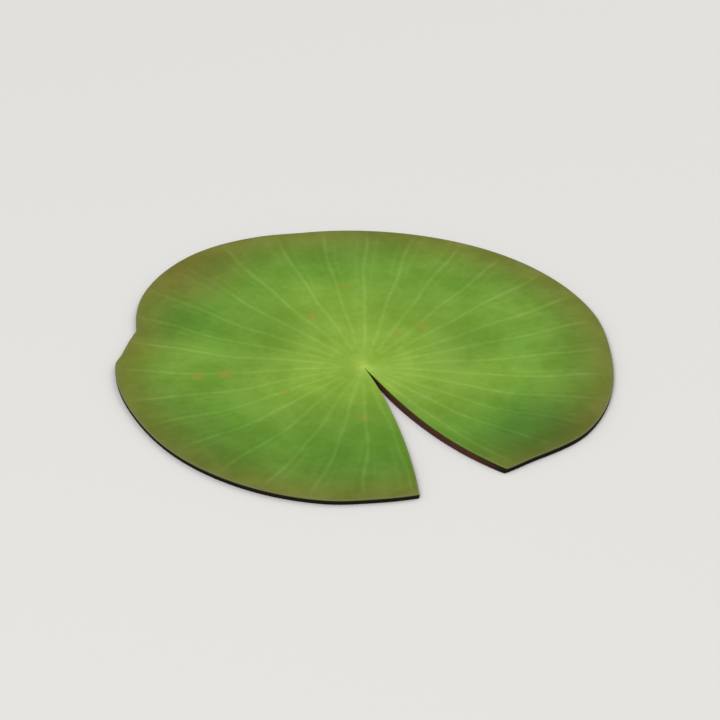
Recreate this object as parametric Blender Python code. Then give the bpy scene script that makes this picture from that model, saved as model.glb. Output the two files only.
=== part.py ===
"""A water lily pad, picked and laid flat.

The whole pad grew as one piece: a round blade with a notch, a raised margin,
ribs that fan out under it and the foot of its cut stalk. Lengths are in metres,
bearings in degrees anticlockwise seen from above, taken about the stalk with
the notch towards -Y. The finished pad stands on Z = 0 with the middle of its
bounding box over the origin.
"""

import math

import bmesh
import bpy
from mathutils import Vector

MM = 0.001

# Outline of the blade, as (bearing, distance from the stalk in mm). The two
# runs meet at the nick in the left edge, and their outer ends are the tips of
# the lobes beside the notch.
RIM_BEFORE_NICK = (
    (-77.6, 100.5), (-69.0, 102.0), (-52.0, 109.5), (-18.0, 111.0), (0.0, 114.0),
    (78.0, 120.5), (89.0, 124.0), (100.0, 126.0), (110.0, 124.5), (124.0, 118.0),
    (138.2, 107.0),
)
RIM_AFTER_NICK = (
    (138.2, 107.0), (149.0, 108.5), (153.8, 110.5), (178.0, 107.0), (200.0, 106.0),
    (236.0, 105.0), (247.0, 103.0), (258.3, 102.0),
)

# Margins of the notch: bearing at the stalk, how far the bearing opens by the
# tip of the lobe, and the power of the distance with which it opens.
RIGHT_MARGIN = (-87.4, 9.8, 1.8)
LEFT_MARGIN = (266.8, -8.5, 0.9)

# Ribs, anticlockwise from the right lobe: the bearing of each halfway out, and
# how ribs near a bearing turn from there, as (bearing, turn towards the stalk,
# turn towards the rim). Close to the stalk they run straight.
RIB_BEARINGS = (
    -78.5, -67.0, -55.5, -43.5, -31.5, -18.5, -5.0, 7.0, 19.5, 31.0,
    42.5, 54.0, 65.0, 75.5, 86.0, 98.5, 110.0, 123.0, 135.0, 146.5,
    160.0, 173.5, 185.5, 198.0, 211.0, 223.5, 235.0, 246.5, 258.5,
)
RIB_TURNS = (
    (-80.0, -1.0, 3.0), (-60.0, -0.5, 6.0), (-30.0, 2.0, 3.5), (0.0, -0.5, 0.5),
    (90.0, -1.0, -1.0), (180.0, -2.0, -4.0), (258.0, -1.5, -1.5),
)
RIB_COUNT = len(RIB_BEARINGS)
HALFWAY = 0.5  # share of the way out
STRAIGHT_INSIDE = 0.2
RIB_HALF_WIDTH = (1.5 * MM, 0.55 * MM)  # at the stalk and at the margin
RIB_CREST = 0.5  # flat bottom of a rib, as a share of its width
RIB_ROOM = 0.42  # most of the way to its neighbour that a rib's foot may take

# Heights above the surface that the pad lies on.
EDGE_THICKNESS = 2.4 * MM
TOP_CROWN = 0.35 * MM
NOTCH_LIFT = 0.35 * MM
NOTCH_LIFT_REACH = 9.0 * MM
WAVES = ((5, 0.10 * MM, 40.0), (8, 0.06 * MM, 200.0))  # count, height, phase
PANEL_HEIGHT = 1.5 * MM  # underside between the ribs, next to the stalk
PANEL_FALL = 0.5 * MM  # how much lower it is where the margin begins
MARGIN_STARTS = 0.88  # share of the way out where the underside turns down

# Slant of the edge: the rim is undercut, and the notch's right margin leans
# outwards, beyond the first few centimetres from the stalk.
RIM_UNDERCUT = 0.15 * MM
RIGHT_FLARE = 1.2 * MM
FLARE_GROWS = 30.0 * MM

STALK_RADIUS = 3.4 * MM
STALK_SIDES = 24
STALK_SETBACK = 1.6 * MM  # stalk's middle behind the point of the notch
STALK_TOP = 2.0 * MM

RINGS = (0.0, 0.035, 0.09, 0.17, 0.28, 0.41, 0.54, 0.67, 0.79, 0.88, 0.95, 1.0)

LEAF_GREEN = (0.16, 0.33, 0.035, 1.0)
LEAF_ROUGHNESS = 0.5

PAD_NAME = "lily_pad"
COLLECTION_NAME = "water_lily_pad"


def clear_scene():
    """Remove every object."""
    for item in list(bpy.data.objects):
        bpy.data.objects.remove(item, do_unlink=True)


def new_collection(name):
    """Make a collection in the scene."""
    collection = bpy.data.collections.new(name)
    bpy.context.scene.collection.children.link(collection)
    return collection


def smooth_step(value, low, high):
    """Rise smoothly from 0 at low to 1 at high."""
    share = min(max((value - low) / (high - low), 0.0), 1.0)
    return share * share * (3.0 - 2.0 * share)


def smooth_run(points, place):
    """Value at a place, on a smooth curve through (place, value) points."""
    last = len(points) - 1
    seat = 0
    while seat < last - 1 and place > points[seat + 1][0]:
        seat += 1

    def slope(at):
        before = points[max(at - 1, 0)]
        after = points[min(at + 1, last)]
        return (after[1] - before[1]) / (after[0] - before[0])

    (p0, v0), (p1, v1) = points[seat], points[seat + 1]
    span = p1 - p0
    t = min(max((place - p0) / span, 0.0), 1.0)
    rise = t * t * (3.0 - 2.0 * t)
    lead_out = t * (1.0 - t) ** 2 * slope(seat)
    lead_in = t * t * (1.0 - t) * slope(seat + 1)
    return v0 + (v1 - v0) * rise + span * (lead_out - lead_in)


def rim_radius(bearing):
    """Distance from the stalk to the rim at a bearing."""
    nick = RIM_AFTER_NICK[0][0]
    run = RIM_BEFORE_NICK if bearing < nick else RIM_AFTER_NICK
    return smooth_run(run, bearing) * MM


def margin_bearing(margin, share):
    """Bearing of a margin of the notch at a share of the way out."""
    start, opening, power = margin
    return start + opening * share**power


def rib_bearing(rib, share):
    """Bearing of a rib at a share of the way out."""
    middle = RIB_BEARINGS[rib]
    to_stalk = smooth_run([(at, turn) for at, turn, _ in RIB_TURNS], middle)
    to_rim = smooth_run([(at, turn) for at, _, turn in RIB_TURNS], middle)
    inwards = 1.0 - smooth_step(share, STRAIGHT_INSIDE, HALFWAY)
    outwards = smooth_step(share, HALFWAY, 1.0)
    return middle + to_stalk * inwards + to_rim * outwards


def track_bearing(track, share):
    """Bearing of a track: -1 and RIB_COUNT are the notch's margins, 0, 1, 2... the ribs."""
    if track <= -1:
        return margin_bearing(RIGHT_MARGIN, share)
    if track >= RIB_COUNT:
        return margin_bearing(LEFT_MARGIN, share)
    if track == int(track):
        return rib_bearing(int(track), share)
    before = track_bearing(math.floor(track), share)
    after = track_bearing(math.ceil(track), share)
    return before + (after - before) * (track - math.floor(track))


def grid_columns():
    """Columns of the blade's grid, as (track, offset in rib half widths)."""
    right, left = -1.0, float(RIB_COUNT)
    columns = [(right, 0.0), (right, RIB_CREST), (right, 1.0), (-0.5, 0.0)]
    for rib in range(RIB_COUNT):
        columns += [(float(rib), offset) for offset in (-1.0, -RIB_CREST, RIB_CREST, 1.0)]
        columns.append((rib + 0.5, 0.0))
    columns += [(left, -1.0), (left, -RIB_CREST), (left, 0.0)]
    return columns


def column_bearing(track, offset, share, radius):
    """Bearing of a grid column at one ring."""
    bearing = track_bearing(track, share)
    if offset == 0.0 or radius == 0.0:
        return bearing
    inner, outer = RIB_HALF_WIDTH
    width = math.degrees((inner + (outer - inner) * share) / radius)
    neighbour = track + math.copysign(1.0, offset)
    room = abs(track_bearing(neighbour, share) - bearing) * RIB_ROOM
    return bearing + offset * min(width, room)


def notch_distance(bearing, share, radius):
    """Distance along the ring to the nearer margin of the notch."""
    right = bearing - margin_bearing(RIGHT_MARGIN, share)
    left = margin_bearing(LEFT_MARGIN, share) - bearing
    return math.radians(max(min(right, left), 0.0)) * radius


def top_height(bearing, share, radius):
    """Height of the upper surface."""
    height = EDGE_THICKNESS + TOP_CROWN * (1.0 - share * share)
    away = notch_distance(bearing, share, radius)
    lift = NOTCH_LIFT * math.exp(-((away / NOTCH_LIFT_REACH) ** 2))
    lift *= smooth_step(radius, 0.0, 15.0 * MM) * (1.0 - smooth_step(share, 0.85, 1.0))
    for count, size, phase in WAVES:
        height += size * share**3 * math.sin(math.radians(count * bearing + phase))
    return height + lift


def panel_height(share):
    """Height of the underside between two ribs."""
    inner = PANEL_HEIGHT - PANEL_FALL * share / MARGIN_STARTS
    return inner * (1.0 - smooth_step(share, MARGIN_STARTS, 1.0))


def bottom_height(track, offset, share):
    """Height of the underside at a grid column: ribs and margins reach down to Z = 0."""
    on_rib = 0.0 < abs(offset) <= RIB_CREST
    on_margin = offset == 0.0 and track in (-1.0, RIB_COUNT)
    on_stalk = share <= RINGS[1]
    return 0.0 if on_rib or on_margin or on_stalk else panel_height(share)


def edge_shift(column, share, bearing, radius):
    """How far the lower edge stands from the upper one, as a flat vector."""
    outward = Vector((math.cos(math.radians(bearing)), math.sin(math.radians(bearing)), 0.0))
    shift = Vector((0.0, 0.0, 0.0))
    if share == 1.0:
        shift -= outward * RIM_UNDERCUT
    if column == 0:
        into_notch = Vector((outward.y, -outward.x, 0.0))
        shift += into_notch * RIGHT_FLARE * smooth_step(radius, 0.0, FLARE_GROWS)
    return shift


def flat_grid(columns, rings):
    """A flat grid of faces, with the number of its column and ring in each vertex."""
    mesh = bmesh.new()
    bmesh.ops.create_grid(mesh, x_segments=columns - 1, y_segments=rings - 1, size=0.5)
    column_layer = mesh.verts.layers.int.new("column")
    ring_layer = mesh.verts.layers.int.new("ring")
    for vert in mesh.verts:
        vert[column_layer] = round((vert.co.x + 0.5) * (columns - 1))
        vert[ring_layer] = round((vert.co.y + 0.5) * (rings - 1))
    return mesh


def build_blade():
    """The blade with its ribs: a grid fanned round the stalk and thickened downwards."""
    columns = grid_columns()
    mesh = flat_grid(len(columns), len(RINGS))
    column_layer = mesh.verts.layers.int["column"]
    ring_layer = mesh.verts.layers.int["ring"]

    sheet = list(mesh.faces)
    lower = bmesh.ops.extrude_face_region(mesh, geom=sheet, use_keep_orig=True)["geom"]
    lower_verts = {item for item in lower if isinstance(item, bmesh.types.BMVert)}

    for vert in mesh.verts:
        number = vert[column_layer]
        track, offset = columns[number]
        share = RINGS[vert[ring_layer]]
        radius = share * rim_radius(track_bearing(track, 1.0))
        bearing = column_bearing(track, offset, share, radius)
        angle = math.radians(bearing)
        place = Vector((radius * math.cos(angle), radius * math.sin(angle), 0.0))
        if vert in lower_verts:
            place += edge_shift(number, share, bearing, radius)
            place.z = bottom_height(track, offset, share)
        else:
            place.z = top_height(bearing, share, radius)
        vert.co = place

    bmesh.ops.remove_doubles(mesh, verts=mesh.verts, dist=0.00001)
    bmesh.ops.recalc_face_normals(mesh, faces=mesh.faces)
    bmesh.ops.triangulate(mesh, faces=mesh.faces)
    data = bpy.data.meshes.new(PAD_NAME)
    mesh.to_mesh(data)
    mesh.free()
    return data


def leaf_material():
    """Green, softly waxy surface of the blade."""
    material = bpy.data.materials.new("leaf_green")
    material.use_nodes = True
    shader = material.node_tree.nodes["Principled BSDF"]
    shader.inputs["Base Color"].default_value = LEAF_GREEN
    shader.inputs["Roughness"].default_value = LEAF_ROUGHNESS
    shader.inputs["Metallic"].default_value = 0.0
    return material


def build_stalk(collection):
    """Foot of the stalk, cut off level with the ribs, to be joined to the blade."""
    bpy.ops.mesh.primitive_cylinder_add(
        vertices=STALK_SIDES,
        radius=STALK_RADIUS,
        depth=STALK_TOP,
        location=(0.0, STALK_SETBACK, STALK_TOP / 2.0),
    )
    stalk = bpy.context.object
    stalk.name = "stalk_foot"
    for holder in list(stalk.users_collection):
        holder.objects.unlink(stalk)
    collection.objects.link(stalk)
    stalk.hide_render = True
    stalk.display_type = "WIRE"
    return stalk


def join_stalk(pad, stalk):
    """Grow the stalk's foot into the underside of the blade."""
    union = pad.modifiers.new("stalk", "BOOLEAN")
    union.operation = "UNION"
    union.object = stalk


def centre_over_origin(pad):
    """Move the pad so that the middle of its outline is over the origin."""
    xs = [vert.co.x for vert in pad.data.vertices]
    ys = [vert.co.y for vert in pad.data.vertices]
    shift = Vector((-(min(xs) + max(xs)) / 2.0, -(min(ys) + max(ys)) / 2.0, 0.0))
    for vert in pad.data.vertices:
        vert.co += shift
    return shift


def main():
    """Build the pad."""
    clear_scene()
    collection = new_collection(COLLECTION_NAME)
    guides = new_collection("joined_in")
    pad = bpy.data.objects.new(PAD_NAME, build_blade())
    collection.objects.link(pad)
    shift = centre_over_origin(pad)
    stalk = build_stalk(guides)
    stalk.location += shift
    join_stalk(pad, stalk)
    pad.data.materials.append(leaf_material())
    pad.data.shade_smooth()
    pad.data.set_sharp_from_angle(angle=math.radians(35.0))


main()
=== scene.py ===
"""The looks of one water lily pad, picked and laid flat on a pale floor.

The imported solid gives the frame: the pad's box, its body and its place. This
script grows the visible pad in that box: a blade with rounded edges, impressed
veins, ribs with forks under it and the cut foot of its stalk. It then dresses
them and sets up the floor, the lights and the camera. Lengths on the pad are in
millimetres, and a finished mesh is in metres. Bearings are in degrees
anticlockwise seen from above, about the stalk, with the notch towards -Y.
"""

import functools
import logging
import math
from dataclasses import dataclass
from enum import Enum
from typing import Any

import bmesh
import bpy
import numpy as np
from bpy.types import Material, Mesh, Node, NodeSocket, NodeTree, Object
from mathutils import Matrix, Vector
from numpy.typing import NDArray


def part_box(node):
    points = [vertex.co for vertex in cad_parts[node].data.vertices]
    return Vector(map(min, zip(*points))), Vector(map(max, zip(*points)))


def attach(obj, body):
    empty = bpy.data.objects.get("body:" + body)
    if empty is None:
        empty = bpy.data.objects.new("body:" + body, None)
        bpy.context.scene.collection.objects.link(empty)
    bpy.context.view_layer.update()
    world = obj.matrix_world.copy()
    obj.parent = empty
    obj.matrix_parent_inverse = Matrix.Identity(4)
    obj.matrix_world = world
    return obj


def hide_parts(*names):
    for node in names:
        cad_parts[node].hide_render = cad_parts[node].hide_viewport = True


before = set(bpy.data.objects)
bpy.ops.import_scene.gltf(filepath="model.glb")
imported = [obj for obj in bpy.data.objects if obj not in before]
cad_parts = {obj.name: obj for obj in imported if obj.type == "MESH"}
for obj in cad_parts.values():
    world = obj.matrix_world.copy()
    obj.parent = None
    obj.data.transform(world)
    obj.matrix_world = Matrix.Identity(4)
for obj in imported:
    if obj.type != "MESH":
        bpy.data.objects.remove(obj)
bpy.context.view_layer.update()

LOG = logging.getLogger("lily_pad")
MM = 0.001
PAD_NODE = "lily_pad"
BODY = "root"
BAKE_MAP = "OFBake"
PLACES = "from_stalk"
WAX_SHEEN = 0.012
TINY = 1e-9
QUARTER_TURN = 90.0
PATCH_HEIGHT = 2.5  # height of a colour patch's middle in mm, near the upper side
NOISE_RANGE = (0.34, 0.66)  # noise below and above this counts as 0 and 1

Array = NDArray[np.float64]
Numbers = NDArray[np.int64]
Colour = tuple[float, float, float, float]
Span = tuple[float, float]
Place = tuple[float, float, float]
Stop = tuple[float, Colour]  # a place on a colour ramp and its colour
Gain = tuple[float, float]  # a factor, and what is added
Fade = tuple[float, float, float, float]  # where it starts and ends, and its values there
Paint = tuple[Any, Any, Any]  # colour, roughness, and the net of finest veins or None


class Surface(Enum):
    """Parts of the blade's surface, numbered as its material slots."""

    UPPER = 0
    WALL = 1
    UNDER = 2


class Effect(Enum):
    """Shader node groups that several finishes share, by name."""

    MOTTLE = "mottle"
    LINE = "soft_line"
    PATCH = "soft_patch"
    NET = "fine_net"
    SKIN = "waxy_skin"


def smooth_step(value: Array, low: float, high: float) -> Array:
    """Rise smoothly from 0 at low to 1 at high."""
    share = np.clip((value - low) / (high - low), 0.0, 1.0)
    return share * share * (3.0 - 2.0 * share)


def smooth_run(points: tuple[Span, ...], at: Array) -> Array:
    """Read a smooth curve that passes through points.

    Args:
        points: pairs of place and value, in order of place.
        at: places to read the curve at.

    Returns:
        The curve's value at each place.
    """
    places, values = np.array(points).T
    before = np.maximum(np.arange(len(places)) - 1, 0)
    after = np.minimum(np.arange(len(places)) + 1, len(places) - 1)
    slopes = (values[after] - values[before]) / (places[after] - places[before])
    seat = np.clip(np.searchsorted(places, at) - 1, 0, len(places) - 2)
    span = places[seat + 1] - places[seat]
    t = np.clip((at - places[seat]) / span, 0.0, 1.0)
    rise = t * t * (3.0 - 2.0 * t)
    lead_out = t * (1.0 - t) ** 2 * slopes[seat]
    lead_in = t * t * (1.0 - t) * slopes[seat + 1]
    return values[seat] + (values[seat + 1] - values[seat]) * rise + span * (lead_out - lead_in)


def rounding(away: Array, radius: float) -> Array:
    """Fall of a rounded edge at a distance in from it: the radius at the edge, 0 that far in."""
    short = np.clip(radius - away, 0.0, radius)
    return radius - np.sqrt(radius * radius - short * short)


def srgb(red: int, green: int, blue: int) -> Colour:
    """Turn a display colour of 0 to 255 into a linear one.

    Args:
        red: red part.
        green: green part.
        blue: blue part.

    Returns:
        Linear red, green, blue and an alpha of 1.
    """
    shown = [part / 255.0 for part in (red, green, blue)]
    linear = [part / 12.92 if part <= 0.04045 else ((part + 0.055) / 1.055) ** 2.4 for part in shown]
    return (linear[0], linear[1], linear[2], 1.0)


def leaf(red: int, green: int, blue: int) -> Colour:
    """Turn a display colour seen on the leaf into its base, without the grey of its wax."""
    bare = [max(part - WAX_SHEEN, 0.0) for part in srgb(red, green, blue)[:3]]
    return (bare[0], bare[1], bare[2], 1.0)


def put_in_scene(name: str, data: Any) -> Object:
    """Make an object of a mesh, light or camera and put it in the scene.

    Args:
        name: the object's name.
        data: what it shows.

    Returns:
        The object.
    """
    item = bpy.data.objects.new(name, data)
    bpy.context.scene.collection.objects.link(item)
    return item


def keep_places(mesh: Mesh, places: Array) -> None:
    """Keep on each vertex its place from the stalk, in mm."""
    kept = mesh.attributes.new(PLACES, "FLOAT_VECTOR", "POINT")
    kept.data.foreach_set("vector", places.ravel())


@dataclass(frozen=True)
class Margin:
    """A margin of the notch: its bearing at the stalk and how it opens outwards."""

    start: float
    opening: float
    power: float

    def bearing(self, share: Array) -> Array:
        """Bearing of the margin at a share of the way out."""
        return self.start + self.opening * share**self.power


@dataclass(frozen=True)
class Outline:
    """Outline of the blade, as bearings and distances from the stalk."""

    before_nick: tuple[Span, ...] = (
        (-77.6, 100.5), (-69.0, 102.0), (-52.0, 109.5), (-18.0, 111.0), (0.0, 114.0),
        (78.0, 120.5), (89.0, 124.0), (100.0, 126.0), (110.0, 124.5), (124.0, 118.0),
        (138.2, 107.0),
    )
    after_nick: tuple[Span, ...] = (
        (138.2, 107.0), (149.0, 108.5), (153.8, 110.5), (178.0, 107.0), (200.0, 106.0),
        (236.0, 105.0), (247.0, 103.0), (258.3, 102.0),
    )
    right: Margin = Margin(-87.4, 9.8, 1.8)
    left: Margin = Margin(266.8, -8.5, 0.9)
    samples: int = 4000

    def rim(self, bearing: Array) -> Array:
        """Distance from the stalk to the rim at a bearing.

        Args:
            bearing: bearing on the blade.

        Returns:
            The distance.
        """
        before = smooth_run(self.before_nick, bearing)
        after = smooth_run(self.after_nick, bearing)
        return np.where(bearing < self.after_nick[0][0], before, after)

    def middle(self) -> Array:
        """Middle of the outline's box, seen from the stalk.

        Returns:
            Its place in mm, as x and y.
        """
        ends = self.right.bearing(1.0), self.left.bearing(1.0)
        bearing = np.linspace(*ends, self.samples)
        angle = np.radians(bearing)
        place = self.rim(bearing) * np.array([np.cos(angle), np.sin(angle)])
        return (place.min(axis=1) + place.max(axis=1)) / 2.0

    def notch_angle(self, bearing: Array, share: Array) -> tuple[Array, Array]:
        """Angle from a bearing to each margin of the notch.

        Args:
            bearing: bearing on the blade.
            share: share of the way out.

        Returns:
            The angles to the right and to the left margin.
        """
        right = np.maximum(bearing - self.right.bearing(share), 0.0)
        left = np.maximum(self.left.bearing(share) - bearing, 0.0)
        return right, left


@dataclass(frozen=True)
class RibFan:
    """Ribs and veins, anticlockwise from the right lobe: their bearings halfway and their turns."""

    outline: Outline
    middles: tuple[float, ...] = (
        -78.5, -67.0, -55.5, -43.5, -31.5, -18.5, -5.0, 7.0, 19.5, 31.0,
        42.5, 54.0, 65.0, 75.5, 86.0, 98.5, 110.0, 123.0, 135.0, 146.5,
        160.0, 173.5, 185.5, 198.0, 211.0, 223.5, 235.0, 246.5, 258.5,
    )
    turns: tuple[tuple[float, float, float], ...] = (
        (-80.0, -1.0, 3.0), (-60.0, -0.5, 6.0), (-30.0, 2.0, 3.5), (0.0, -0.5, 0.5),
        (90.0, -1.0, -1.0), (180.0, -2.0, -4.0), (258.0, -1.5, -1.5),
    )
    straight_inside: float = 0.2
    halfway: float = 0.5
    waver: float = 0.35
    waves: float = 2.6
    fork_starts: float = 0.5
    fork_runs: float = 0.68
    fork_near: float = 0.15
    fork_far: float = 0.23

    @property
    def count(self) -> int:
        """How many ribs there are."""
        return len(self.middles)

    def rib(self, rib: Array, share: Array) -> Array:
        """Bearing of a rib, which turns a little towards the stalk and the rim, and wavers.

        Args:
            rib: the rib's number.
            share: share of the way out.

        Returns:
            The bearing.
        """
        middle = np.array(self.middles)[rib.astype(int)]
        places, to_stalk, to_rim = zip(*self.turns)
        inwards = 1.0 - smooth_step(share, self.straight_inside, self.halfway)
        outwards = smooth_step(share, self.halfway, 1.0)
        bearing = middle + smooth_run(tuple(zip(places, to_stalk)), middle) * inwards
        bearing = bearing + smooth_run(tuple(zip(places, to_rim)), middle) * outwards
        wave = np.sin(math.tau * self.waves * share + middle * middle)
        return bearing + self.waver * wave * (1.0 - inwards)

    def track(self, track: Array, share: Array) -> Array:
        """Bearing of a track: -1 and count are the margins, the rest are ribs.

        Args:
            track: the track's number.
            share: share of the way out.

        Returns:
            The bearing.
        """
        bearing = self.rib(np.clip(track, 0, self.count - 1), share)
        bearing = np.where(track < 0, self.outline.right.bearing(share), bearing)
        return np.where(track >= self.count, self.outline.left.bearing(share), bearing)

    def fork(self, share: Array) -> Array:
        """How far across the gap to the next rib a fork runs, as a share."""
        run = smooth_step(share, self.fork_starts, self.fork_runs)
        return self.fork_near + (self.fork_far - self.fork_near) * run


@dataclass(frozen=True)
class Section:
    """Thickness and relief of the blade, above the surface that it lies on."""

    edge: float = 2.4
    crown: float = 0.35
    notch_lift: float = 0.35
    notch_lift_reach: float = 9.0
    notch_lift_grows: Span = (0.0, 15.0)
    notch_lift_ends: Span = (0.85, 1.0)
    waves: tuple[tuple[int, float, float], ...] = ((5, 0.10, 40.0), (8, 0.06, 200.0))
    panel: float = 1.5
    panel_fall: float = 0.5
    margin_starts: float = 0.88
    rib_half_width: Span = (1.5, 0.55)
    rib_room: float = 0.42
    edge_rib: Span = (0.5, 1.3)
    fork_width: float = 0.8
    fork_height: float = 0.5
    fork_full: float = 0.55
    puff: float = 0.15
    puff_gap: Span = (2.0, 8.0)
    puff_ends: Span = (0.8, 0.95)
    veins_begin: Span = (0.04, 0.15)
    veins_end: Span = (0.9, 1.0)
    vein_depth: float = 0.04
    fork_depth: float = 0.015
    vein_half_width: float = 0.6
    quilting: float = 0.04
    top_round: float = 0.3
    bottom_round: float = 0.25
    corner_round: float = 0.8
    undercut: float = 0.15
    right_flare: float = 1.2
    flare_grows: float = 30.0
    tip_bearing: float = 90.0
    lean_reach: float = 3.0
    wall_bulge: float = 0.06

    def top(self, bearing: Array, share: Array, radius: Array, notch_away: Array) -> Array:
        """Height of the upper side, before veins and edges.

        Args:
            bearing: bearing on the blade.
            share: share of the way out.
            radius: distance from the stalk.
            notch_away: distance from the notch.

        Returns:
            The height.
        """
        height = self.edge + self.crown * (1.0 - share * share)
        lift = self.notch_lift * np.exp(-((notch_away / self.notch_lift_reach) ** 2))
        lift = lift * smooth_step(radius, *self.notch_lift_grows)
        lift = lift * (1.0 - smooth_step(share, *self.notch_lift_ends))
        for count, size, phase in self.waves:
            height = height + size * share**3 * np.sin(np.radians(count * bearing + phase))
        return height + lift

    def panels(self, share: Array) -> Array:
        """Height of the underside between two ribs."""
        inner = self.panel - self.panel_fall * share / self.margin_starts
        return inner * (1.0 - smooth_step(share, self.margin_starts, 1.0))

    def rib_width(self, share: Array, gap: Array) -> Array:
        """Half width of a rib's foot, where the gap to its neighbour leaves room for it."""
        inner, outer = self.rib_half_width
        return np.minimum(inner + (outer - inner) * share, self.rib_room * gap)


@dataclass(frozen=True)
class Lanes:
    """Where the blade's grid has columns and rings, in mm and as shares of a gap."""

    beside_rib: tuple[Span, ...] = ((0.0, 0.0), (0.4, 0.045), (1.0, 0.10))
    beside_fork: float = 0.5
    fork_room: float = 0.025
    open_panel: tuple[float, ...] = (0.34, 0.42)
    beside_margin: tuple[Span, ...] = (
        (0.0, 0.0), (0.02, 0.02), (0.06, 0.05), (0.13, 0.09), (0.22, 0.14), (0.33, 0.20),
        (0.45, 0.26), (0.8, 0.34), (1.3, 0.42),
    )
    margin_panel: tuple[float, ...] = (0.5, 0.61, 0.72, 0.81)
    near_stalk: tuple[float, ...] = (0.3, 0.55, 0.9, 1.4, 2.0, 2.8, 3.7, 4.8, 6.1, 7.6, 9.3, 11.2)
    ring_step: float = 1.9
    typical_rim: float = 110.0
    last_ring: float = 6.2
    near_rim: tuple[float, ...] = (
        4.6, 3.2, 2.2, 1.5, 1.0, 0.7, 0.45, 0.33, 0.22, 0.13, 0.06, 0.02, 0.0,
    )
    wall_rows: int = 5

    def ribbed_gap(self) -> list[tuple[float, float, int]]:
        """List the columns from a rib towards the middle of the gap.

        Returns:
            For each its distance in mm, its share of the gap and its side of the fork.
        """
        lanes = [(mm, share, 0) for mm, share in self.beside_rib]
        lanes += [(0.0, 0.0, side) for side in (-1, 2, 1)]
        return lanes + [(math.inf, share, 0) for share in self.open_panel]

    def inner_shares(self) -> list[float]:
        """List the rings from the stalk to where the rim's own rings begin.

        Returns:
            Their shares of the way out.
        """
        outer = self.typical_rim - self.last_ring
        steps = round((outer - self.near_stalk[-1]) / self.ring_step)
        even = np.linspace(self.near_stalk[-1], outer, steps + 1)[1:]
        return [distance / self.typical_rim for distance in (0.0, *self.near_stalk, *even)]


@dataclass
class Layout:
    """The blade's grid seen from above: one row for each column, one entry for each ring."""

    bearing: Array
    share: Array
    radius: Array
    gap: Array
    rib_away: Array
    fork_away: Array
    notch_away: Array
    rim_away: Array
    across: Array
    outward: Array
    sideways: Array

    @property
    def edge_away(self) -> Array:
        """Distance to the nearer of the rim and the notch."""
        return np.minimum(self.rim_away, self.notch_away)


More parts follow.
